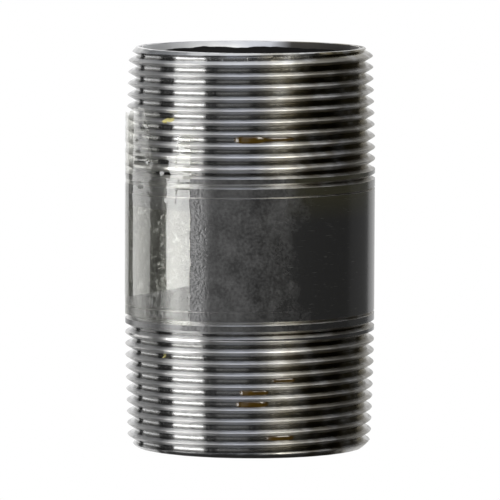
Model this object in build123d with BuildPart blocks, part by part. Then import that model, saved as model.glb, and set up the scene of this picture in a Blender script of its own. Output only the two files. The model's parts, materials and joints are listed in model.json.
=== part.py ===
from build123d import *
import math
import os

os.makedirs("parts", exist_ok=True)

# A pipe nipple, nominally 1 1/2 inch by 3 inches, schedule 40, with a tapered American pipe thread
# on each end. It stands on its lower end: the origin is on the bore's axis in the plane of that end, and
# +Z runs up the bore. All sizes are in millimetres and all angles in degrees.

inch = 25.4

# the pipe, cut 1.2 mm over its nominal length, which is within its tolerance
pipe_diameter = 1.900 * inch
wall = 0.145 * inch
length = 3.0 * inch + 1.2

# the thread: a 60 degree form on a 1 in 16 taper, with a small flat at its root and crest
threads_per_inch = 11.5
taper_on_diameter = 1 / 16
flank_angle = 60
pitch_diameter_at_end = 1.79609 * inch
depth_in_pitches = 0.77
root_flat_in_pitches = 0.038

# how far each thread runs up the pipe, the turns in which it fades out, and where each one starts
thread_length = 28.2
runout_turns = 2.5
bottom_thread_start = 10
top_thread_start = -67

# the ends: chamfered outside for the die, and reamed inside after cutting
outer_chamfer_diameter = 44.2
ream_width = 0.58
ream_height = 1.15

# the lacquer, and two sheets of clear film stuck around the back and left of the pipe
lacquer_thickness = 0.05
film_thickness = 0.06
film_gap = 0.015
film_sheets = {
    "clear_tape_lower": {"layer": 0, "bottom": 25.2, "top": 47.5, "start": 122, "end": 243},
    "clear_tape_upper": {"layer": 1, "bottom": 29.2, "top": 66.8, "start": 118, "end": 243},
}

# sizes that follow
pipe_radius = pipe_diameter / 2
bore_radius = pipe_radius - wall
coat_inner_radius = pipe_radius - lacquer_thickness
pitch = inch / threads_per_inch
thread_depth = depth_in_pitches * pitch
radius_slope = taper_on_diameter / 2
crest_radius_at_end = (pitch_diameter_at_end + thread_depth) / 2
root_radius_at_end = (pitch_diameter_at_end - thread_depth) / 2
crests_flush_at = (pipe_radius - crest_radius_at_end) / radius_slope
runout_length = runout_turns * pitch
full_length = thread_length - runout_length
chamfer_radius = outer_chamfer_diameter / 2
chamfer_height = (crest_radius_at_end - chamfer_radius) / (1 - radius_slope)
chamfer_top_radius = chamfer_radius + chamfer_height

# the groove's section is a little taller than the thread, so that it cuts clear of the surface
tool_clearance = 0.06
tool_height = thread_depth + tool_clearance
root_flat = root_flat_in_pitches * pitch
tool_mouth = root_flat + 2 * tool_height * math.tan(math.radians(flank_angle / 2))


def root_radius(height):
    """The groove's root radius at this height above the pipe's end."""
    full_radius = root_radius_at_end + radius_slope * min(height, full_length)
    climb = pipe_radius + tool_clearance - (root_radius_at_end + radius_slope * full_length)
    return full_radius + climb * max(0, height - full_length) / runout_length


def groove_turn(start, end):
    """The thread's groove between two heights above the pipe's end, at most a turn, as a solid."""
    start_radius = root_radius(start)
    cone_angle = math.degrees(math.atan((root_radius(end) - start_radius) / (end - start)))
    with BuildPart() as turn:
        with BuildLine():
            Helix(pitch, end - start, start_radius, (0, 0, start), cone_angle=cone_angle)
        with BuildSketch(Plane.XZ):
            with BuildLine():
                Polyline(
                    (start_radius, start - root_flat / 2),
                    (start_radius + tool_height, start - tool_mouth / 2),
                    (start_radius + tool_height, start + tool_mouth / 2),
                    (start_radius, start + root_flat / 2),
                    close=True,
                )
            make_face()
        sweep(is_frenet=True)
    return turn.part.rotate(Axis.Z, 360 * start / pitch)


# one thread's groove, turn by turn: it enters a pitch below the end, keeps its full depth up to
# full_length, and then climbs to the surface
full_turns = [-pitch + turn * pitch for turn in range(math.ceil(full_length / pitch) + 1)]
fading_turns = [full_length + turn * pitch for turn in range(math.ceil(runout_turns))]
stops = full_turns + fading_turns + [thread_length]
groove = [groove_turn(start, end) for start, end in zip(stops, stops[1:])]

# one half of the pipe, standing on its threaded end, and turned down under the lacquer by the
# lacquer's thickness; its section is turned away from the groove's first plane
section_plane = Plane.XZ.rotated((0, 0, 40))
with BuildPart() as pipe_half:
    with BuildSketch(section_plane):
        with BuildLine():
            Polyline(
                (bore_radius, ream_height),
                (bore_radius + ream_width, 0),
                (chamfer_radius, 0),
                (chamfer_top_radius, chamfer_height),
                (pipe_radius, crests_flush_at),
                (pipe_radius, full_length),
                (coat_inner_radius, full_length),
                (coat_inner_radius, length / 2),
                (bore_radius, length / 2),
                close=True,
            )
        make_face()
    revolve(axis=Axis.Z)
    for turn in groove:
        add(turn, mode=Mode.SUBTRACT)

# the same half of the black lacquer, which is left on the plain middle and on the lands between
# the fading turns
with BuildPart() as lacquer_half:
    with BuildSketch(section_plane):
        with Locations(((coat_inner_radius + pipe_radius) / 2, (full_length + length / 2) / 2)):
            Rectangle(lacquer_thickness, length / 2 - full_length)
    revolve(axis=Axis.Z)
    for turn in groove:
        add(turn, mode=Mode.SUBTRACT)

# the upper half is the lower one upside down, so both threads are right-hand
lower_half = Location((0, 0, 0), (0, 0, bottom_thread_start))
upper_half = Location((0, 0, length), (180, 0, 0)) * Location((0, 0, 0), (0, 0, top_thread_start))

with BuildPart() as nipple_body:
    with Locations(lower_half, upper_half):
        add(pipe_half.part)
nipple_body.part.label = "nipple_body"
export_step(nipple_body.part, "parts/nipple_body.step")

with BuildPart() as lacquer_coat:
    with Locations(lower_half, upper_half):
        add(lacquer_half.part)
lacquer_coat.part.label = "lacquer_coat"
export_step(lacquer_coat.part, "parts/lacquer_coat.step")

# the clear film: each sheet is a thin arc around the pipe, and the upper one bridges the crests
for name, sheet in film_sheets.items():
    inner_radius = pipe_radius + film_gap + sheet["layer"] * (film_thickness + film_gap)
    span = sheet["end"] - sheet["start"]
    with BuildPart() as film:
        with BuildSketch(Plane.XY.offset(sheet["bottom"])):
            with BuildLine():
                inside = CenterArc((0, 0), inner_radius, sheet["start"], span)
                outside = CenterArc((0, 0), inner_radius + film_thickness, sheet["start"], span)
                Line(inside @ 0, outside @ 0)
                Line(inside @ 1, outside @ 1)
            make_face()
        extrude(amount=sheet["top"] - sheet["bottom"])
    film.part.label = name
    export_step(film.part, f"parts/{name}.step")
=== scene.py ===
"""The looks of a threaded steel pipe nipple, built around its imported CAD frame."""

import json
import math
import random

import bmesh
import bpy
import numpy as np
from mathutils import Matrix, Vector, noise


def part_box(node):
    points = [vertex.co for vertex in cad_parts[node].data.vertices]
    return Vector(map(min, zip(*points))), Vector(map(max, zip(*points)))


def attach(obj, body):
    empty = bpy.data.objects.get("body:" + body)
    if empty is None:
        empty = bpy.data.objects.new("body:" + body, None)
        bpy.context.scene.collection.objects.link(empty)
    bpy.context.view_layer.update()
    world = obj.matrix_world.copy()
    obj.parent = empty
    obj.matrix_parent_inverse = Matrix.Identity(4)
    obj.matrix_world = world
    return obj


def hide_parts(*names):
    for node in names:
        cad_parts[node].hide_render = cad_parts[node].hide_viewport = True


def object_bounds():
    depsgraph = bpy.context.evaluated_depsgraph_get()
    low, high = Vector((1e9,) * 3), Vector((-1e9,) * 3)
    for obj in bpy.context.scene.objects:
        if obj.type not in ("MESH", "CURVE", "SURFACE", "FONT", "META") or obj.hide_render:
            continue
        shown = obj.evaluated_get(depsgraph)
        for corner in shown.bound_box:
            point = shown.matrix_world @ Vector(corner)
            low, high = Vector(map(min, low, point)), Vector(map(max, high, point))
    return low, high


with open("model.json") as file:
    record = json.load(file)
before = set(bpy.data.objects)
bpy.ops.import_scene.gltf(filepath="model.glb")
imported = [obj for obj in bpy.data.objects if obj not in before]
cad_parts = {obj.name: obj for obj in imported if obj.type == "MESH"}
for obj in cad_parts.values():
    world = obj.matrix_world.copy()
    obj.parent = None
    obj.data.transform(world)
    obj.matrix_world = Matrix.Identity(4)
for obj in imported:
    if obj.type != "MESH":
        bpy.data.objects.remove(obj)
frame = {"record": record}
CAD_BOX = [list(corner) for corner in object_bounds()]

MM = 0.001
mounts = {mount["name"]: mount for mount in frame["record"]["mounts"]}

# the pipe, in millimetres
PIPE_RADIUS = mounts["outside_wall"]["dims"]["r_mm"]
BORE_RADIUS = mounts["bore"]["dims"]["r_mm"]
LENGTH = CAD_BOX[1][2] / MM
INCH = 25.4

# the thread, in millimetres
PITCH = INCH / 11.5
FLANK = math.tan(math.radians(30))
RADIUS_SLOPE = 1 / 32
THREAD_DEPTH = 0.77 * PITCH
ROOT_FLAT = 0.038 * PITCH
PITCH_RADIUS_AT_END = 1.79609 * INCH / 2
CREST_AT_END = PITCH_RADIUS_AT_END + THREAD_DEPTH / 2
ROOT_AT_END = PITCH_RADIUS_AT_END - THREAD_DEPTH / 2
THREAD_LENGTH = 28.2
RUNOUT_LENGTH = 2.5 * PITCH
FULL_LENGTH = THREAD_LENGTH - RUNOUT_LENGTH
PLAIN_START = THREAD_LENGTH + 0.6
RAMP = 0.2
TOOL_CLEARANCE = 0.06
CHAMFER_RADIUS = 22.1
LEAST_CHAMFER_RADIUS = 21.4
LACQUER = 0.05

# how the die leaves the metal: a round root and crest, a small drop from the lacquer to the
# steel, and a reamed edge inside the bore
ROOT_ROUNDING = 0.10
CREST_ROUNDING = 0.15
FLAT_BLEND = 0.05
UNDER_COAT = LACQUER + 0.01
REAM_WIDTH = 0.58
REAM_HEIGHT = 1.15

# the angle at which each thread's groove meets its end of the pipe, and its own pattern of wear
THREADS = {
    "lower": {"start": math.radians(10), "seed": 0.0},
    "upper": {"start": math.radians(-67), "seed": 50.0},
}


# ---------------------------------------------------------------- mesh tools
def finish_mesh(name, mesh, smooth_angle=40):
    """A smooth-shaded piece from a mesh in metres, with edges sharper than the angle kept."""
    mesh.validate()
    mesh.shade_smooth()
    mesh.set_sharp_from_angle(angle=math.radians(smooth_angle))
    piece = bpy.data.objects.new(name, mesh)
    bpy.context.scene.collection.objects.link(piece)
    return piece


def piece_from(work, name, smooth_angle=40):
    """A piece from a bmesh in millimetres, which this uses up."""
    bmesh.ops.delete(work, geom=[e for e in work.edges if not e.link_faces], context="EDGES")
    bmesh.ops.triangulate(work, faces=[f for f in work.faces if len(f.verts) > 4])
    bmesh.ops.recalc_face_normals(work, faces=work.faces)
    bmesh.ops.scale(work, vec=(MM, MM, MM), verts=work.verts)
    mesh = bpy.data.meshes.new(name)
    work.to_mesh(mesh)
    work.free()
    return finish_mesh(name, mesh, smooth_angle)


def join(work, part):
    """Adds one bmesh to another, and uses it up."""
    scratch = bpy.data.meshes.new("scratch")
    part.to_mesh(scratch)
    work.from_mesh(scratch)
    bpy.data.meshes.remove(scratch)
    part.free()


def wobble(point, size, seed=0.0):
    """Smooth noise between about -1 and 1, with lumps of this size in millimetres."""
    return noise.noise(Vector((point[0] / size + seed, point[1] / size, point[2] / size)))


def ring_point(radius, angle, height):
    """A point from its distance to the axis, its angle and its height."""
    return (radius * math.cos(angle), radius * math.sin(angle), height)


def soft_min(a, b, blend):
    """The smaller of two, rounded off where they cross."""
    near = max(0.0, 1 - abs(a - b) / blend)
    return min(a, b) - near * near * blend / 4


def thicken(sheet, depth):
    """Closes an open sheet around the pipe into a solid one, this deep towards the axis."""
    rim = [e for e in sheet.edges if e.is_boundary]
    rim = [(loop.vert, loop.link_loop_next.vert) for e in rim for loop in e.link_loops]
    inner = {}
    for v in list(sheet.verts):
        k = 1 - depth / math.hypot(v.co.x, v.co.y)
        inner[v] = sheet.verts.new((v.co.x * k, v.co.y * k, v.co.z))
    for face in list(sheet.faces):
        sheet.faces.new([inner[v] for v in reversed(face.verts)])
    for a, b in rim:
        sheet.faces.new((b, a, inner[a], inner[b]))


# ---------------------------------------------------------------- the thread's form
# the strip's columns around the pipe, its turns before it is trimmed, and its rows: these shares of
# half the groove's mouth on each side of the root, and this share of half the land
COLUMNS = 200
TURNS = range(-2, 15)
GROOVE_SHARES = (0.03, 0.09, 0.22, 0.6, 0.78, 0.88, 1.0)
LAND_SHARE = 0.5

# in millimetres: half the mouth of a groove that has faded out, how near a trimmed edge its points
# are drawn onto it, how deep the wear reaches below a crest, and how close points are merged
LEAST_MOUTH = 0.004
TRIM = 0.02
WEAR_DEPTH = 0.3
MERGE = 0.002


def surface_radius(height):
    """The crests' radius at this height above the pipe's end."""
    return min(CREST_AT_END + RADIUS_SLOPE * height, PIPE_RADIUS)


def root_radius(height):
    """The groove's root radius at this height, which climbs past the surface in the last turns."""
    full = ROOT_AT_END + RADIUS_SLOPE * min(height, FULL_LENGTH)
    climb = PIPE_RADIUS + TOOL_CLEARANCE - (ROOT_AT_END + RADIUS_SLOPE * FULL_LENGTH)
    return full + climb * max(0, height - FULL_LENGTH) / RUNOUT_LENGTH


def half_mouth(centre):
    """Half the width of the groove at the surface."""
    depth = surface_radius(centre) - root_radius(centre)
    return max(ROOT_FLAT / 2 + depth * FLANK, LEAST_MOUTH)


def form_radius(centre, offset):
    """The steel's radius at this offset from a groove's centre, before any wear."""
    apex = root_radius(centre) - ROOT_FLAT / 2 / FLANK
    flank = apex + math.hypot(offset, ROOT_ROUNDING) / FLANK
    tip = apex + PITCH / 2 / FLANK
    crest = tip - math.hypot(PITCH / 2 - abs(offset), CREST_ROUNDING) / FLANK
    return soft_min(min(flank, crest), surface_radius(centre + offset), FLAT_BLEND)


def pitch_rows(centre):
    """One pitch of the thread around a groove's centre: (height, radius, on the land) by row."""
    mouth = half_mouth(centre)
    land = mouth + LAND_SHARE * (PITCH / 2 - mouth)
    offsets = [-mouth * s for s in reversed(GROOVE_SHARES)] + [0.0] + [mouth * s for s in GROOVE_SHARES]
    offsets += [land, PITCH / 2, PITCH - land]
    rows = []
    for offset in offsets:
        nearest = offset if offset <= PITCH / 2 else offset - PITCH
        groove = centre if offset <= PITCH / 2 else centre + PITCH
        rows.append((centre + offset, form_radius(groove, nearest), abs(nearest) >= mouth))
    return rows


def worn_radius(radius, angle, height, seed):
    """The radius after the chamfer, and with the small dents and wear of the cut steel."""
    point = ring_point(radius, angle, height)
    crest = max(0, 1 - (surface_radius(height) - radius) / WEAR_DEPTH)
    wear = 0.014 * wobble(point, 1.3, seed) + 0.03 * max(0, wobble(point, 2.6, seed + 9) - 0.15)
    radius -= crest * abs(wear)
    chamfer = CHAMFER_RADIUS + height + 0.12 * wobble(point, 2.0, seed + 20)
    return min(radius, max(chamfer, LEAST_CHAMFER_RADIUS))


def thread_strip(thread, coat=False):
    """One thread as a strip of quads wound round the pipe, standing on the pipe's end and trimmed
    flat there and at the plain middle. The coat's strip has only the lands, at the full radius."""
    strip = bmesh.new()
    columns, lands = [], []
    for column in range(COLUMNS):
        share = column / COLUMNS
        angle = thread["start"] + 2 * math.pi * share
        points, land = [], []
        for turn in TURNS:
            centre = PITCH * (turn + share)
            closed = half_mouth(centre) <= LEAST_MOUTH
            for height, radius, on_land in pitch_rows(centre):
                if coat:
                    radius = PIPE_RADIUS
                elif (on_land or closed) and height >= FULL_LENGTH:
                    radius = min(radius, PIPE_RADIUS - UNDER_COAT)
                else:
                    radius = worn_radius(radius, angle, height, thread["seed"])
                points.append(strip.verts.new(ring_point(radius, angle, height)))
                land.append(on_land or closed)
        columns.append(points)
        lands.append(land)
    per_turn = len(columns[0]) // len(TURNS)
    for column in range(COLUMNS):
        here, here_land = columns[column], lands[column]
        ahead = (column + 1) % COLUMNS
        skip = per_turn if ahead == 0 else 0
        there, there_land = columns[ahead][skip:], lands[ahead][skip:]
        for row in range(min(len(here), len(there)) - 1):
            corners = (here_land[row], here_land[row + 1], there_land[row], there_land[row + 1])
            if not coat or all(corners):
                strip.faces.new((here[row], there[row], there[row + 1], here[row + 1]))
    bottom = FULL_LENGTH if coat else 0.0
    for height, side in ((bottom, "clear_inner"), (PLAIN_START, "clear_outer")):
        everything = strip.verts[:] + strip.edges[:] + strip.faces[:]
        bmesh.ops.bisect_plane(
            strip, geom=everything, dist=0.012, plane_co=(0, 0, height), plane_no=(0, 0, 1), **{side: True}
        )
        for v in strip.verts:
            if abs(v.co.z - height) < TRIM:
                v.co.z = height
    bmesh.ops.delete(strip, geom=[v for v in strip.verts if not v.link_faces], context="VERTS")
    bmesh.ops.remove_doubles(strip, verts=strip.verts, dist=MERGE)
    return strip


def loop_at(strip, height):
    """The open edges at this height."""
    return [e for e in strip.edges if e.is_boundary and all(abs(v.co.z - height) < TRIM for v in e.verts)]


def ring(strip, radius_of, height_of):
    """A closed ring of vertices and edges, from functions of the angle."""
    points = []
    for column in range(COLUMNS):
        angle = 2 * math.pi * column / COLUMNS
        points.append(strip.verts.new(ring_point(radius_of(angle), angle, height_of(angle))))
    return [strip.edges.new((points[i - 1], points[i])) for i in range(COLUMNS)]


def both_ends(make_half):
    """Both halves of the pipe or of its coat, joined in the middle."""
    work = bmesh.new()
    for name, thread in THREADS.items():
        half = make_half(thread)
        if name == "upper":
            bmesh.ops.transform(half, matrix=Matrix.Rotation(math.pi, 4, "X"), verts=half.verts)
            bmesh.ops.transform(half, matrix=Matrix.Translation((0, 0, LENGTH)), verts=half.verts)
        join(work, half)
    seam = [v for v in work.verts if abs(v.co.z - LENGTH / 2) < TRIM]
    bmesh.ops.remove_doubles(work, verts=seam, dist=TRIM)
    return work


# ---------------------------------------------------------------- the pipe and its lacquer
# the places of the pipe's materials in its list
CUT, SCALE, REAMED = 0, 1, 2


def pipe_half(thread):
    """One end's thread, end face and bore, up to the middle of the pipe, standing on its end."""
    half = thread_strip(thread)
    seed = thread["seed"]

    def ragged(angle, amount, waves, shift=0.0):
        """Noise around the pipe, up to about this amount and with more lumps for more waves."""
        place = (waves * math.cos(angle), waves * math.sin(angle), seed + shift)
        return amount * noise.noise(Vector(place))

    def reamed_to(angle):
        return REAM_HEIGHT + ragged(angle, 0.45, 3) + ragged(angle, 0.2, 14, 7)

    under = PIPE_RADIUS - UNDER_COAT
    rim = ring(half, lambda a: BORE_RADIUS + REAM_WIDTH + 0.06 + ragged(a, 0.05, 9), lambda a: 0.0)
    lip = ring(half, lambda a: BORE_RADIUS + REAM_WIDTH - 0.02, lambda a: 0.07)
    ream = ring(half, lambda a: BORE_RADIUS + 0.03, reamed_to)
    inside = ring(half, lambda a: BORE_RADIUS, lambda a: reamed_to(a) + 0.06)
    centre = ring(half, lambda a: BORE_RADIUS, lambda a: LENGTH / 2)
    plain = ring(half, lambda a: under, lambda a: PLAIN_START + RAMP)
    middle = ring(half, lambda a: under, lambda a: LENGTH / 2)
    steps = (
        (loop_at(half, PLAIN_START), plain, CUT),
        (plain, middle, CUT),
        (loop_at(half, 0), rim, CUT),
        (rim, lip, CUT),
        (lip, ream, REAMED),
        (ream, inside, SCALE),
        (inside, centre, SCALE),
    )
    for outer, inner, finish in steps:
        made = bmesh.ops.bridge_loops(half, edges=outer + inner)
        for face in made["faces"]:
            face.material_index = finish
    return half


def coat_half(thread):
    """The lacquer on one end's last lands and on the plain middle, as an open sheet."""
    half = thread_strip(thread, coat=True)
    edge = loop_at(half, PLAIN_START)
    for height in (PLAIN_START + RAMP, LENGTH / 2):
        next_edge = ring(half, lambda a: PIPE_RADIUS, lambda a: height)
        bmesh.ops.bridge_loops(half, edges=edge + next_edge)
        edge = next_edge
    return half


def build_pipe():
    return piece_from(both_ends(pipe_half), "threaded_pipe")


def build_coat():
    sleeve = both_ends(coat_half)
    thicken(sleeve, LACQUER)
    return piece_from(sleeve, "black_lacquer")


# ---------------------------------------------------------------- places on the threads
def nearest_groove(name, angle, z):
    """The groove nearest to a place on the pipe: its centre and the offset from it, both measured
    from the thread's own end of the pipe."""
    thread = THREADS[name]
    height, turned = (z, angle) if name == "lower" else (LENGTH - z, -angle)
    share = (turned - thread["start"]) / (2 * math.pi)
    centre = PITCH * (round(height / PITCH - share) + share)
    return centre, height - centre


def steel_radius(angle, z):
    """The thread's radius at an angle and a height up the pipe."""
    name = "lower" if z < LENGTH / 2 else "upper"
    centre, offset = nearest_groove(name, angle, z)
    return form_radius(centre, offset)


# ---------------------------------------------------------------- the clear film
FILM_THICKNESS = 0.06
FILM_GAP = 0.015
FILM_CLEARANCE = 0.006
FILM_COLUMNS = 150
FILM_ROWS = 110

# each sheet's upper and lower edges, as (angle, height up the pipe); the upper one is torn off
# along its top, and was stuck on a little askew
SHEETS = {
    "clear_tape_lower": {
        "layer": 0,
        "top": ((122, 46.9), (180, 47.4), (243, 47.1)),
        "bottom": ((122, 26.0), (190, 25.6), (218, 25.5), (243, 25.3)),
    },
    "clear_tape_upper": {
        "layer": 1,
        "top": (
            (118, 62.5), (135, 64.2), (160, 63.0), (180, 64.6), (194, 65.0), (203, 66.0), (212.5, 66.5),
            (214.6, 64.0), (217.4, 58.7), (219.4, 56.8), (225, 57.1), (234.2, 57.5), (234.9, 61.5),
            (240, 61.9), (243, 61.8),
        ),
        "bottom": ((118, 29.6), (190, 29.25), (204, 30.0), (218, 30.9), (229, 31.8), (243, 33.05)),
    },
}


def outline(points, angle):
    """The height of an edge at this angle in degrees."""
    angles, heights = zip(*points)
    return float(np.interp(angle, angles, heights))


def film_radius(angle, z, layer):
    """Where the outside of the film lies: on the lacquer, or slack across the thread's crests."""
    centre, offset = nearest_groove("upper", angle, z)
    depth = surface_radius(centre) - root_radius(centre)
    crest = surface_radius(LENGTH - z)
    place = ring_point(crest, angle, z)
    slack = 0.05 + 0.34 * max(0, wobble(place, 3.4, 4) + 0.1)
    sag = min(slack, 0.5 * max(0, depth)) * math.cos(math.pi * offset / PITCH) ** 2
    ruck = 0.05 * wobble(place, 2.2, 31) if depth > 0 else 0.012 * wobble(place, 5.0, 31)
    level = crest + (FILM_GAP + FILM_THICKNESS) * (layer + 1) - sag + ruck - FILM_CLEARANCE
    highest = PIPE_RADIUS + (FILM_GAP + FILM_THICKNESS) * (layer + 1)
    return min(level, highest)


def build_film(name, sheet):
    """One sheet between its two edges, kept within its CAD node's height."""
    node_low, node_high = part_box(name)
    first, last = sheet["top"][0][0], sheet["top"][-1][0]
    film = bmesh.new()
    grid = []
    for row in range(FILM_ROWS + 1):
        up = row / FILM_ROWS
        line = []
        # the right-hand edge wavers by about a degree
        right = last - 1.2 + 1.1 * wobble((0, 0, up * 22), 2.2, sheet["layer"])
        for column in range(FILM_COLUMNS + 1):
            share = column / FILM_COLUMNS
            degrees = first + (right - first) * share
            angle = math.radians(degrees)
            low, high = outline(sheet["bottom"], degrees), outline(sheet["top"], degrees)
            # only the upper sheet's top is torn, and the power keeps that near its edge
            torn = 0.35 * wobble(ring_point(20, angle, 0), 0.8, 3) * sheet["layer"] * up**8
            z = low + (high + torn - low) * up
            z = min(max(z, node_low[2] / MM), node_high[2] / MM)
            line.append(film.verts.new(ring_point(film_radius(angle, z, sheet["layer"]), angle, z)))
        grid.append(line)
    for lower, upper in zip(grid, grid[1:]):
        for column in range(FILM_COLUMNS):
            film.faces.new((lower[column], lower[column + 1], upper[column + 1], upper[column]))
    thicken(film, FILM_THICKNESS)
    return piece_from(film, name.replace("clear_tape", "film"), 60)


# ---------------------------------------------------------------- oil, flecks and chips
DROP_STEPS = 40

# cutting oil left in the grooves: thread, first and last angle, height up the pipe, half width
OIL = (
    ("upper", 262.0, 278.0, 60.95, 0.66),
    ("upper", 274.0, 292.0, 60.85, 0.36),
    ("lower", 281.0, 293.0, 14.75, 0.34),
    ("lower", 265.0, 279.5, 12.55, 0.48),
    ("lower", 263.2, 279.5, 10.4, 0.56),
    ("lower", 278.4, 292.8, 3.85, 0.48),
)


def add_oil_drop(work, name, first, last, z, half_width):
    """A long drop that fills a groove, standing a little proud in the middle of its width."""
    centre_at_first, _ = nearest_groove(name, math.radians(first), z)
    sign = 1 if name == "lower" else -1
    rings = []
    for step in range(DROP_STEPS + 1):
        share = step / DROP_STEPS
        angle = math.radians(first + (last - first) * share)
        turned = sign * (angle - math.radians(first))
        centre = centre_at_first + PITCH * turned / (2 * math.pi)
        swell = max(0.02, 1 - abs(2 * share - 1) ** 5) ** 0.5
        swell *= 1 + 0.12 * math.sin(7 * share + z)
        width = half_width * min(1, swell)
        edge = form_radius(centre, width)
        around = []
        for k in range(9):
            offset = width * (k / 4 - 1)
            radius = min(form_radius(centre, offset), edge) - 0.02
            around.append((offset, radius))
        for k in range(1, 8):
            offset = width * (1 - k / 4)
            around.append((offset, edge + 0.16 * width * (1 - (offset / width) ** 2)))
        points = []
        for offset, radius in around:
            height = centre + offset
            height = height if name == "lower" else LENGTH - height
            points.append(work.verts.new(ring_point(radius, angle, height)))
        rings.append(points)
    for here, there in zip(rings, rings[1:]):
        for k in range(len(here)):
            work.faces.new((here[k - 1], here[k], there[k], there[k - 1]))
    work.faces.new(rings[0])
    work.faces.new(list(reversed(rings[-1])))


def build_oil():
    work = bmesh.new()
    for drop in OIL:
        add_oil_drop(work, *drop)
    return piece_from(work, "cutting_oil", 80)


def add_flake(work, degrees, z, width, height, thickness, seed):
    """A crumb stuck to the metal: an uneven disc that follows the thread under it."""
    spokes, circles = 18, 4
    layers = []
    middle_radius = steel_radius(math.radians(degrees), z)
    for side in (1, 0):
        middle = work.verts.new(ring_point(middle_radius + side * thickness, math.radians(degrees), z))
        grid = []
        for circle in range(1, circles + 1):
            share = circle / circles
            points = []
            for spoke in range(spokes):
                turn = 2 * math.pi * spoke / spokes
                raggedness = noise.noise(Vector((math.cos(turn) * 1.6, math.sin(turn) * 1.6, seed)))
                reach = share * (1 + 0.45 * raggedness)
                across, up = width / 2 * reach * math.cos(turn), height / 2 * reach * math.sin(turn)
                angle = math.radians(degrees) + across / PIPE_RADIUS
                lift = side * thickness * (1.02 - share**3) * (1 + 0.5 * wobble((across, up, seed), 0.4))
                radius = steel_radius(angle, z + up) + lift - (1 - side) * 0.02
                points.append(work.verts.new(ring_point(radius, angle, z + up)))
            grid.append(points)
        for k in range(spokes):
            work.faces.new((middle, grid[0][k - 1], grid[0][k]))
            for inner, outer in zip(grid, grid[1:]):
                work.faces.new((inner[k - 1], outer[k - 1], outer[k], inner[k]))
        layers.append(grid[-1])
    for k in range(spokes):
        work.faces.new((layers[0][k - 1], layers[1][k - 1], layers[1][k], layers[0][k]))


def build_flakes(name, flakes):
    work = bmesh.new()
    for seed, flake in enumerate(flakes):
        add_flake(work, *flake, seed * 3.7 + 0.4)
    return piece_from(work, name, 50)


# each crumb: angle, height up the pipe, width, height and thickness
PAINT_FLECKS = (
    (227.0, 64.15, 1.5, 1.0, 0.16),
    (229.6, 64.4, 1.5, 0.85, 0.14),
    (224.1, 18.9, 0.6, 0.7, 0.12),
)
GLUE_BEADS = (
    (239.5, 66.9, 1.0, 0.7, 0.12),
    (241.9, 64.15, 0.6, 0.5, 0.12),
    (241.4, 62.8, 0.5, 0.8, 0.12),
    (236.8, 60.1, 1.8, 1.1, 0.10),
    (226.4, 19.8, 0.5, 0.5, 0.10),
)


def build_chips():
    """Slivers of swarf: most lie along the first groove at the top, the rest here and there."""
    draw = random.Random(7)
    work = bmesh.new()
    places = [(draw.uniform(240, 292), LENGTH - draw.uniform(0.8, 1.5), 0.55) for _ in range(24)]
    places += [(draw.uniform(0, 360), draw.uniform(1, 24), 0.3) for _ in range(14)]
    places += [(draw.uniform(0, 360), draw.uniform(52, 74), 0.3) for _ in range(14)]
    for degrees, z, size in places:
        angle = math.radians(degrees)
        base = Vector(ring_point(steel_radius(angle, z), angle, z))
        out = Vector((math.cos(angle), math.sin(angle), 0))
        along = Vector((-math.sin(angle), math.cos(angle), draw.uniform(-0.5, 0.5))).normalized()
        across = out.cross(along)
        long = size * draw.uniform(0.35, 1)
        wide = size * draw.uniform(0.15, 0.4)
        tall = draw.uniform(0.04, 0.1)
        corners = (
            base - along * long / 2 - out * 0.03,
            base + across * wide / 2 - out * 0.03,
            base + along * long / 2 + out * tall * draw.uniform(0, 1),
            base - across * wide / 2 - out * 0.03,
            base + out * tall + along * long * draw.uniform(-0.2, 0.2),
        )
        points = [work.verts.new(corner) for corner in corners]
        for k in range(4):
            work.faces.new((points[k], points[(k + 1) % 4], points[4]))
        work.faces.new((points[0], points[3], points[2]))
        work.faces.new((points[0], points[2], points[1]))
    return piece_from(work, "steel_chips", 30)


# ---------------------------------------------------------------- colours and nodes
def linear(code):
    """Linear colour from an sRGB hex code."""
    channels = [int(code[i : i + 2], 16) / 255 for i in (1, 3, 5)]
    return tuple(c / 12.92 if c <= 0.04045 else ((c + 0.055) / 1.055) ** 2.4 for c in channels) + (1.0,)


def per_mm(size):
    """The scale of a pattern whose lumps are this many millimetres across."""
    return 1 / (size * MM)


def new_material(name):
    material = bpy.data.materials.new(name)
    material.use_nodes = True
    material.node_tree.nodes.clear()
    return material, material.node_tree


def add_node(tree, kind, inputs=None, **settings):
    """Adds a node. inputs maps a socket's name or number to a value or to the socket it links to."""
    node = tree.nodes.new(kind)
    for key, value in settings.items():
        setattr(node, key, value)
    for key, value in (inputs or {}).items():
        socket = node.inputs[key]
        if isinstance(value, bpy.types.NodeSocket):
            tree.links.new(value, socket)
        else:
            socket.default_value = value
    return node


def finish_material(tree, shader):
    add_node(tree, "ShaderNodeOutputMaterial", {"Surface": shader.outputs[0]})


# the steel's colour from a crest, 0, to a root, 1: the die burnishes the crests, and oil, fine swarf and
# painted shade darken the groove, but for a painted highlight, a bright line along its root
CLEAN_GROOVE_PAINTED_SHADE_AND_HIGHLIGHT = ((0.0, "#bdbcba"), (0.45, "#b0b0b0"), (0.62, "#9a9a9a"), (0.86, "#9a9a98"), (0.95, "#c0c0c0"))
OILED_GROOVE_PAINTED_SHADE_AND_HIGHLIGHT = ((0.0, "#8a877e"), (0.45, "#7a756a"), (0.62, "#645d4a"), (0.86, "#605944"), (0.95, "#726a52"))


def shade_by_depth(ramp, shades):
    """Sets a colour ramp's stops from (place, colour) pairs."""
    stops = ramp.color_ramp.elements
    stops[0].position, stops[0].color = shades[0][0], linear(shades[0][1])
    stops[1].position, stops[1].color = shades[-1][0], linear(shades[-1][1])
    for position, shade in shades[1:-1]:
        stops.new(position).color = linear(shade)


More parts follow.
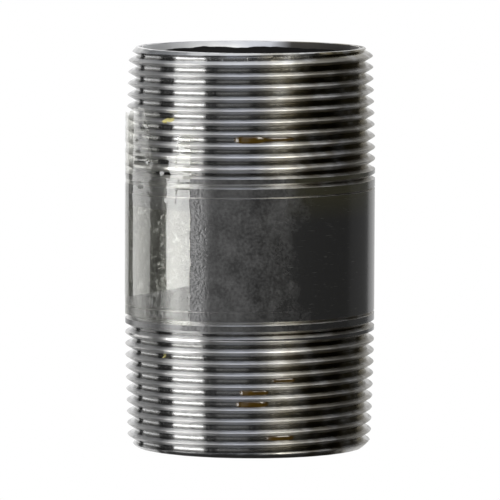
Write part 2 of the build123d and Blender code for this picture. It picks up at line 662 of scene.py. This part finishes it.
def cut_steel():
    """Die-cut carbon steel, still oily: bright and sharp along the grooves, blurred across them by
    the die's fine marks, with duller patches and a brown film of cutting oil on one side, darker there as
    painted shade; painted shade also darkens each groove, and a painted highlight runs along its root."""
    material, tree = new_material("cut_steel")
    place = add_node(tree, "ShaderNodeTexCoord").outputs["Object"]
    tangent = add_node(tree, "ShaderNodeTangent", direction_type="RADIAL", axis="Z")
    squeezed = add_node(tree, "ShaderNodeMapping", {"Vector": place, "Scale": (1, 1, 12)})
    marks = add_node(
        tree, "ShaderNodeTexNoise", {0: squeezed.outputs[0], "Scale": per_mm(2.4), "Detail": 3.0}
    )
    bump = add_node(
        tree, "ShaderNodeBump", {"Height": marks.outputs["Fac"], "Strength": 0.03, "Distance": 0.02 * MM}
    )
    dull = add_node(tree, "ShaderNodeTexNoise", {"Vector": place, "Scale": per_mm(1.6), "Detail": 5.0})
    rough = add_node(tree, "ShaderNodeMapRange", {0: dull.outputs["Fac"], 1: 0.35, 2: 0.7, 3: 0.32, 4: 0.42})
    axes = add_node(tree, "ShaderNodeSeparateXYZ", {0: place})
    flat = add_node(tree, "ShaderNodeCombineXYZ", {0: axes.outputs["X"], 1: axes.outputs["Y"]})
    radius = add_node(tree, "ShaderNodeVectorMath", {0: flat.outputs[0]}, operation="LENGTH")
    from_top = add_node(tree, "ShaderNodeMath", {0: LENGTH * MM, 1: axes.outputs["Z"]}, operation="SUBTRACT")
    from_end = add_node(
        tree, "ShaderNodeMath", {0: axes.outputs["Z"], 1: from_top.outputs[0]}, operation="MINIMUM"
    )
    cone = add_node(
        tree,
        "ShaderNodeMath",
        {0: from_end.outputs[0], 1: RADIUS_SLOPE, 2: CREST_AT_END * MM},
        operation="MULTIPLY_ADD",
    )
    crest = add_node(tree, "ShaderNodeMath", {0: cone.outputs[0], 1: PIPE_RADIUS * MM}, operation="MINIMUM")
    depth = add_node(
        tree, "ShaderNodeMath", {0: crest.outputs[0], 1: radius.outputs["Value"]}, operation="SUBTRACT"
    )
    groove = add_node(tree, "ShaderNodeMapRange", {0: depth.outputs[0], 2: THREAD_DEPTH * MM})
    # these colours by depth hold painted shade down each groove and a painted highlight along its root
    clean_painted_shade_and_highlight = add_node(tree, "ShaderNodeValToRGB", {"Fac": groove.outputs["Result"]})
    shade_by_depth(clean_painted_shade_and_highlight, CLEAN_GROOVE_PAINTED_SHADE_AND_HIGHLIGHT)
    oiled_painted_shade_and_highlight = add_node(tree, "ShaderNodeValToRGB", {"Fac": groove.outputs["Result"]})
    shade_by_depth(oiled_painted_shade_and_highlight, OILED_GROOVE_PAINTED_SHADE_AND_HIGHLIGHT)
    inside = add_node(tree, "ShaderNodeMapRange", {0: groove.outputs["Result"], 1: 0.42, 2: 0.62})
    gloss = add_node(
        tree, "ShaderNodeMix", {0: inside.outputs["Result"], 2: rough.outputs["Result"], 3: 0.17}
    )
    # the right-hand side takes the oiled colours: brown cutting oil there, and darker as painted shade for
    # that side
    side = add_node(tree, "ShaderNodeMapRange", {0: axes.outputs["X"], 1: -2 * MM, 2: 12 * MM})
    smear = add_node(tree, "ShaderNodeTexNoise", {"Vector": place, "Scale": per_mm(4.5), "Detail": 4.0})
    patch = add_node(tree, "ShaderNodeMapRange", {0: smear.outputs["Fac"], 1: 0.28, 2: 0.52})
    darker_right_side = add_node(
        tree, "ShaderNodeMath", {0: side.outputs["Result"], 1: patch.outputs["Result"]}, operation="MULTIPLY"
    )
    colour = add_node(
        tree,
        "ShaderNodeMix",
        {0: darker_right_side.outputs[0], 6: clean_painted_shade_and_highlight.outputs["Color"], 7: oiled_painted_shade_and_highlight.outputs["Color"]},
        data_type="RGBA",
    )
    shader = add_node(
        tree,
        "ShaderNodeBsdfPrincipled",
        {
            "Base Color": colour.outputs[2],
            "Metallic": 1.0,
            "Roughness": gloss.outputs["Result"],
            "Anisotropic": 0.95,
            "Anisotropic Rotation": 0.25,
            "Tangent": tangent.outputs["Tangent"],
            "Normal": bump.outputs["Normal"],
        },
    )
    finish_material(tree, shader)
    return material


def reamed_steel():
    """The bore's reamed edge: dull grey steel, scored by the reamer and darker towards the right-hand side.
    """
    material, tree = new_material("reamed_steel")
    place = add_node(tree, "ShaderNodeTexCoord").outputs["Object"]
    axes = add_node(tree, "ShaderNodeSeparateXYZ", {0: place})
    # darker towards the right-hand side
    darker_right_side = add_node(tree, "ShaderNodeMapRange", {0: axes.outputs["X"], 1: 4 * MM, 2: 8 * MM})
    colour = add_node(
        tree,
        "ShaderNodeMix",
        {0: darker_right_side.outputs["Result"], 6: linear("#a8a8a8"), 7: linear("#3c3a36")},
        data_type="RGBA",
    )
    score = add_node(tree, "ShaderNodeTexNoise", {"Vector": place, "Scale": per_mm(0.3), "Detail": 3.0})
    bump = add_node(
        tree, "ShaderNodeBump", {"Height": score.outputs["Fac"], "Strength": 0.4, "Distance": 0.03 * MM}
    )
    inputs = {
        "Base Color": colour.outputs[2],
        "Metallic": 1.0,
        "Roughness": 0.5,
        "Normal": bump.outputs["Normal"],
    }
    finish_material(tree, add_node(tree, "ShaderNodeBsdfPrincipled", inputs))
    return material


def mill_scale():
    """Hot-rolled scale under black lacquer, inside the bore: nearly black, and dull."""
    material, tree = new_material("mill_scale")
    place = add_node(tree, "ShaderNodeTexCoord").outputs["Object"]
    patch = add_node(tree, "ShaderNodeTexNoise", {"Vector": place, "Scale": per_mm(2.0), "Detail": 5.0})
    colour = add_node(
        tree,
        "ShaderNodeMix",
        {0: patch.outputs["Fac"], 6: linear("#060606"), 7: linear("#0e0d0c")},
        data_type="RGBA",
    )
    bump = add_node(
        tree, "ShaderNodeBump", {"Height": patch.outputs["Fac"], "Strength": 0.5, "Distance": 0.05 * MM}
    )
    inputs = {
        "Base Color": colour.outputs[2],
        "Roughness": 0.75,
        "Specular IOR Level": 0.12,
        "Normal": bump.outputs["Normal"],
    }
    shader = add_node(tree, "ShaderNodeBsdfPrincipled", inputs)
    finish_material(tree, shader)
    return material


def black_lacquer():
    """Dipped black lacquer, thin and dusty: a mottled dry skin with fine scratches, wiped darker
    where oil has run over it, and rough and glittering where the film's glue has bled out."""
    material, tree = new_material("black_lacquer")
    place = add_node(tree, "ShaderNodeTexCoord").outputs["Object"]
    axes = add_node(tree, "ShaderNodeSeparateXYZ", {0: place})
    # oil has wiped the right-hand side, up to a wandering edge
    edge = add_node(tree, "ShaderNodeTexNoise", {"Vector": place, "Scale": per_mm(6.0), "Detail": 8.0})
    wander = add_node(
        tree, "ShaderNodeMapRange", {0: edge.outputs["Fac"], 1: 0.3, 2: 0.7, 3: -2.8 * MM, 4: 2.8 * MM}
    )
    across = add_node(
        tree, "ShaderNodeMath", {0: axes.outputs["X"], 1: wander.outputs["Result"]}, operation="ADD"
    )
    wet = add_node(tree, "ShaderNodeMapRange", {0: across.outputs[0], 1: 6.2 * MM, 2: 9.8 * MM})
    # glue has bled out in a frayed band beside the film
    dust = add_node(tree, "ShaderNodeTexNoise", {"Vector": place, "Scale": per_mm(0.55), "Detail": 7.0})
    fray = add_node(
        tree, "ShaderNodeMapRange", {0: dust.outputs["Fac"], 1: 0.3, 2: 0.7, 3: -1.5 * MM, 4: 1.5 * MM}
    )
    frayed = add_node(
        tree, "ShaderNodeMath", {0: axes.outputs["X"], 1: fray.outputs["Result"]}, operation="ADD"
    )
    glue_start = add_node(tree, "ShaderNodeMapRange", {0: frayed.outputs[0], 1: -14.0 * MM, 2: -13.0 * MM})
    glue_stop = add_node(
        tree, "ShaderNodeMapRange", {0: frayed.outputs[0], 1: -9.8 * MM, 2: -8.2 * MM, 3: 1.0, 4: 0.0}
    )
    glue = add_node(
        tree,
        "ShaderNodeMath",
        {0: glue_start.outputs["Result"], 1: glue_stop.outputs["Result"]},
        operation="MULTIPLY",
    )
    # the colour, dusty where it is dry and olive near the upper thread where it is wet
    mottle = add_node(tree, "ShaderNodeTexNoise", {"Vector": place, "Scale": per_mm(3.5), "Detail": 8.0})
    shade = add_node(
        tree, "ShaderNodeMath", {0: dust.outputs["Fac"], 1: mottle.outputs["Fac"]}, operation="ADD"
    )
    level = add_node(tree, "ShaderNodeMapRange", {0: shade.outputs[0], 1: 0.78, 2: 1.28})
    dry_colour = add_node(
        tree,
        "ShaderNodeMix",
        {0: level.outputs["Result"], 6: linear("#141414"), 7: linear("#383838")},
        data_type="RGBA",
    )
    near_thread = add_node(tree, "ShaderNodeMapRange", {0: axes.outputs["Z"], 1: 45 * MM, 2: 50 * MM})
    wet_colour = add_node(
        tree,
        "ShaderNodeMix",
        {0: near_thread.outputs["Result"], 6: linear("#1c1c1c"), 7: linear("#24231a")},
        data_type="RGBA",
    )
    skin = add_node(
        tree,
        "ShaderNodeMix",
        {0: wet.outputs["Result"], 6: dry_colour.outputs[2], 7: wet_colour.outputs[2]},
        data_type="RGBA",
    )
    # fine scratches around the pipe
    stretched = add_node(tree, "ShaderNodeMapping", {"Vector": place, "Scale": (1, 1, 24)})
    streaks = add_node(
        tree, "ShaderNodeTexNoise", {0: stretched.outputs[0], "Scale": per_mm(2.2), "Detail": 2.0}
    )
    scratch = add_node(
        tree, "ShaderNodeMapRange", {0: streaks.outputs["Fac"], 1: 0.68, 2: 0.76, 3: 0.0, 4: 0.4}
    )
    colour = add_node(
        tree,
        "ShaderNodeMix",
        {0: scratch.outputs["Result"], 6: skin.outputs[2], 7: linear("#5c5c5a")},
        data_type="RGBA",
    )
    rough = add_node(tree, "ShaderNodeMapRange", {0: wet.outputs["Result"], 3: 0.28, 4: 0.18})
    dry_depth = add_node(tree, "ShaderNodeMapRange", {0: wet.outputs["Result"], 3: 0.14, 4: 0.04})
    depth = add_node(
        tree, "ShaderNodeMath", {0: dry_depth.outputs["Result"], 1: glue.outputs[0]}, operation="MAXIMUM"
    )
    bump = add_node(
        tree,
        "ShaderNodeBump",
        {"Height": dust.outputs["Fac"], "Strength": depth.outputs[0], "Distance": 0.22 * MM},
    )
    shader = add_node(
        tree,
        "ShaderNodeBsdfPrincipled",
        {
            "Base Color": colour.outputs[2],
            "Roughness": rough.outputs["Result"],
            "IOR": 1.5,
            "Normal": bump.outputs["Normal"],
        },
    )
    finish_material(tree, shader)
    return material


def film_material(name, crease, haze_from, haze_to, grain_size, silvering, gloss):
    """Clear polypropylene film with a smooth face: seen only by its reflections and by the air
    trapped under it, which silvers it."""
    material, tree = new_material(name)
    place = add_node(tree, "ShaderNodeTexCoord").outputs["Object"]
    lumps = add_node(
        tree, "ShaderNodeTexNoise", {"Vector": place, "Scale": per_mm(grain_size), "Detail": 4.0}
    )
    bump = add_node(
        tree, "ShaderNodeBump", {"Height": lumps.outputs["Fac"], "Strength": 1.0, "Distance": crease * MM}
    )
    air = add_node(tree, "ShaderNodeTexNoise", {"Vector": place, "Scale": per_mm(1.2), "Detail": 6.0})
    silver = add_node(
        tree, "ShaderNodeMapRange", {0: air.outputs["Fac"], 1: haze_from, 2: haze_to, 3: 0.0, 4: silvering}
    )
    through = add_node(tree, "ShaderNodeBsdfTransparent", {"Color": linear("#fafaf8")})
    haze = add_node(tree, "ShaderNodeBsdfPrincipled", {"Base Color": linear("#c9c9c4"), "Roughness": 0.3})
    body = add_node(
        tree, "ShaderNodeMixShader", {0: silver.outputs["Result"], 1: through.outputs[0], 2: haze.outputs[0]}
    )
    shine = add_node(tree, "ShaderNodeBsdfGlossy", {"Roughness": 0.06, "Normal": bump.outputs["Normal"]})
    fresnel = add_node(tree, "ShaderNodeFresnel", {"IOR": 1.5, "Normal": bump.outputs["Normal"]})
    inside = add_node(tree, "ShaderNodeNewGeometry").outputs["Backfacing"]
    outside = add_node(tree, "ShaderNodeMath", {0: inside, 1: -gloss, 2: gloss}, operation="MULTIPLY_ADD")
    share = add_node(
        tree, "ShaderNodeMath", {0: fresnel.outputs[0], 1: outside.outputs[0]}, operation="MULTIPLY"
    )
    shader = add_node(
        tree, "ShaderNodeMixShader", {0: share.outputs[0], 1: body.outputs[0], 2: shine.outputs[0]}
    )
    finish_material(tree, shader)
    return material


def oil_material():
    """Used cutting oil: dark amber and clear, with a wet shine."""
    material, tree = new_material("cutting_oil")
    place = add_node(tree, "ShaderNodeTexCoord").outputs["Object"]
    streak = add_node(tree, "ShaderNodeTexNoise", {"Vector": place, "Scale": per_mm(2.5), "Detail": 2.0})
    colour = add_node(
        tree,
        "ShaderNodeMix",
        {0: streak.outputs["Fac"], 6: linear("#241204"), 7: linear("#4c3a0a")},
        data_type="RGBA",
    )
    inputs = {"Base Color": colour.outputs[2], "Roughness": 0.08, "IOR": 1.47, "Transmission Weight": 0.3}
    finish_material(tree, add_node(tree, "ShaderNodeBsdfPrincipled", inputs))
    return material


def yellow_paint():
    """A crumb of dried thread paint: chalky yellow."""
    material, tree = new_material("yellow_paint")
    place = add_node(tree, "ShaderNodeTexCoord").outputs["Object"]
    crumbs = add_node(tree, "ShaderNodeTexNoise", {"Vector": place, "Scale": per_mm(0.5), "Detail": 3.0})
    colour = add_node(
        tree,
        "ShaderNodeMix",
        {0: crumbs.outputs["Fac"], 6: linear("#6e6630"), 7: linear("#c2b878")},
        data_type="RGBA",
    )
    inputs = {"Base Color": colour.outputs[2], "Roughness": 0.5}
    finish_material(tree, add_node(tree, "ShaderNodeBsdfPrincipled", inputs))
    return material


# ---------------------------------------------------------------- the pieces
def place_piece(piece, materials, slot, *nodes):
    """Gives a piece its materials, attaches it to the root body and hides the CAD nodes that it stands for;
    its slot is not used.
    """
    for material in materials:
        piece.data.materials.append(material)
    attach(piece, "root")
    if nodes:
        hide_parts(*nodes)


steel = cut_steel()
smooth_film = film_material("clear_film", 0.012, 0.58, 0.8, 1.6, 0.15, 1.0)
sticky_film = film_material("sticky_film", 0.12, 0.5, 0.75, 0.8, 0.12, 0.5)
place_piece(build_pipe(), (steel, mill_scale(), reamed_steel()), "bare_steel", "nipple_body")
place_piece(build_coat(), (black_lacquer(),), "black_lacquer", "lacquer_coat")
lower_sheet, upper_sheet = (build_film(name, sheet) for name, sheet in SHEETS.items())
place_piece(lower_sheet, (sticky_film,), "clear_film", "clear_tape_lower")
place_piece(upper_sheet, (smooth_film,), "clear_film", "clear_tape_upper")
place_piece(build_oil(), (oil_material(),), "cutting_oil")
place_piece(build_flakes("yellow_flecks", PAINT_FLECKS), (yellow_paint(),), "cutting_oil")
place_piece(build_flakes("glue_beads", GLUE_BEADS), (smooth_film,), "clear_film")
place_piece(build_chips(), (steel,), "bare_steel")


# ---------------------------------------------------------------- stage, camera and lights
VIEW_DISTANCE = 1.257
VIEW_ELEVATION = 5.0
ROLL = 0.26
LENS = 467
AIM = Vector((0, 0, LENGTH / 2 - 0.69)) * MM
MIDDLE = Vector((0, 0, LENGTH * MM / 2))


def direction(azimuth, elevation):
    """A direction away from the object: azimuth 0 is the front, and 90 is the object's right."""
    a, e = math.radians(azimuth), math.radians(elevation)
    return Vector((math.sin(a) * math.cos(e), -math.cos(a) * math.cos(e), math.sin(e)))


# each lamp: name, azimuths, elevations, brightness, colour and distance in metres. Two tall strips
# stand to the left; the key to the right has two dimmer ones behind it, so that its edge is soft
LAMPS = (
    ("main_strip", (-82, -47), (-22, 12), 10.4, "#ffffff", 1.0),
    ("second_strip", (-136, -104), (-14, 4), 2.6, "#ffffff", 1.0),
    ("front_panel", (-33, -1), (-25, 30), 0.6, "#ffffff", 1.1),
    ("key_box", (22, 43), (12, 40), 9.0, "#fffdf6", 1.0),
    ("key_rim", (15, 50), (10, 42), 2.6, "#fffdf6", 1.02),
    ("key_glow", (8, 60), (8, 44), 1.3, "#fffdf6", 1.04),
    ("top_panel", (-24, 12), (24, 78), 1.1, "#dde6ff", 1.0),
    ("overhead", (-60, 60), (78, 102), 1.2, "#ffffff", 1.0),
    ("side_glow", (104, 141), (-30, 30), 0.14, "#ffffff", 1.0),
    ("backdrop_right", (141, 179), (-40, 40), 0.8, "#ffffff", 1.0),
    ("backdrop_left", (-179, -149), (-40, 40), 1.0, "#ffffff", 1.0),
)


def add_lamp(name, azimuths, elevations, brightness, colour, distance):
    """A lamp that fills this span of directions as the object sees it, this many times white."""
    data = bpy.data.lights.new(name, "AREA")
    data.shape = "RECTANGLE"
    data.size = 2 * distance * math.tan(math.radians(azimuths[1] - azimuths[0]) / 2)
    data.size_y = 2 * distance * math.tan(math.radians(elevations[1] - elevations[0]) / 2)
    data.energy = brightness * math.pi * data.size * data.size_y
    data.color = linear(colour)[:3]
    lamp = bpy.data.objects.new(name, data)
    away = direction(sum(azimuths) / 2, sum(elevations) / 2)
    lamp.location = MIDDLE + away * distance
    lamp.rotation_euler = away.to_track_quat("Z", "Y").to_euler()
    lamp.visible_camera = False
    bpy.context.scene.collection.objects.link(lamp)


def build_camera():
    data = bpy.data.cameras.new("camera")
    data.lens = LENS
    data.sensor_width = 36
    camera = bpy.data.objects.new("camera", data)
    camera.location = AIM + VIEW_DISTANCE * direction(0, VIEW_ELEVATION)
    tilt = Matrix.Rotation(math.radians(90 - VIEW_ELEVATION), 4, "X")
    camera.rotation_euler = (tilt @ Matrix.Rotation(math.radians(ROLL), 4, "Z")).to_euler()
    bpy.context.scene.collection.objects.link(camera)
    bpy.context.scene.camera = camera


def build_floor():
    mesh = bpy.data.meshes.new("floor")
    mesh.from_pydata([(-3, -3, 0), (3, -3, 0), (3, 3, 0), (-3, 3, 0)], [], [(0, 1, 2, 3)])
    floor = bpy.data.objects.new("floor", mesh)
    bpy.context.scene.collection.objects.link(floor)
    material, tree = new_material("white_floor")
    finish_material(tree, add_node(tree, "ShaderNodeEmission", {"Color": (1, 1, 1, 1), "Strength": 1.0}))
    mesh.materials.append(material)
    for kind in ("glossy", "diffuse", "transmission", "shadow"):
        setattr(floor, f"visible_{kind}", False)


# the room around the object, from the floor up: (height, colour)
ROOM = ((0.0, (0.05, 0.05, 0.05, 1)), (0.2, (0.085, 0.085, 0.09, 1)), (0.5, (0.32, 0.33, 0.35, 1)))
CEILING = (1.0, (0.9, 0.93, 1.0, 1))


def build_studio():
    """White all round to the camera; the object itself sees a dark room with a pale ceiling."""
    world = bpy.data.worlds.new("studio")
    bpy.context.scene.world = world
    world.use_nodes = True
    tree = world.node_tree
    tree.nodes.clear()
    path = add_node(tree, "ShaderNodeLightPath")
    way = add_node(tree, "ShaderNodeTexCoord")
    height = add_node(tree, "ShaderNodeSeparateXYZ", {0: way.outputs["Generated"]})
    ramp = add_node(tree, "ShaderNodeValToRGB", {"Fac": height.outputs["Z"]})
    stops = ramp.color_ramp.elements
    stops[0].position, stops[0].color = ROOM[0]
    stops[1].position, stops[1].color = CEILING
    for position, colour in ROOM[1:]:
        stops.new(position).color = colour
    room = add_node(tree, "ShaderNodeBackground", {"Color": ramp.outputs["Color"], "Strength": 1.0})
    seen = add_node(tree, "ShaderNodeBackground", {"Color": (1, 1, 1, 1), "Strength": 1.0})
    inputs = {0: path.outputs["Is Camera Ray"], 1: room.outputs[0], 2: seen.outputs[0]}
    choice = add_node(tree, "ShaderNodeMixShader", inputs)
    add_node(tree, "ShaderNodeOutputWorld", {"Surface": choice.outputs[0]})


build_camera()
build_floor()
build_studio()
for lamp in LAMPS:
    add_lamp(*lamp)

bpy.context.scene.view_settings.view_transform = "Standard"
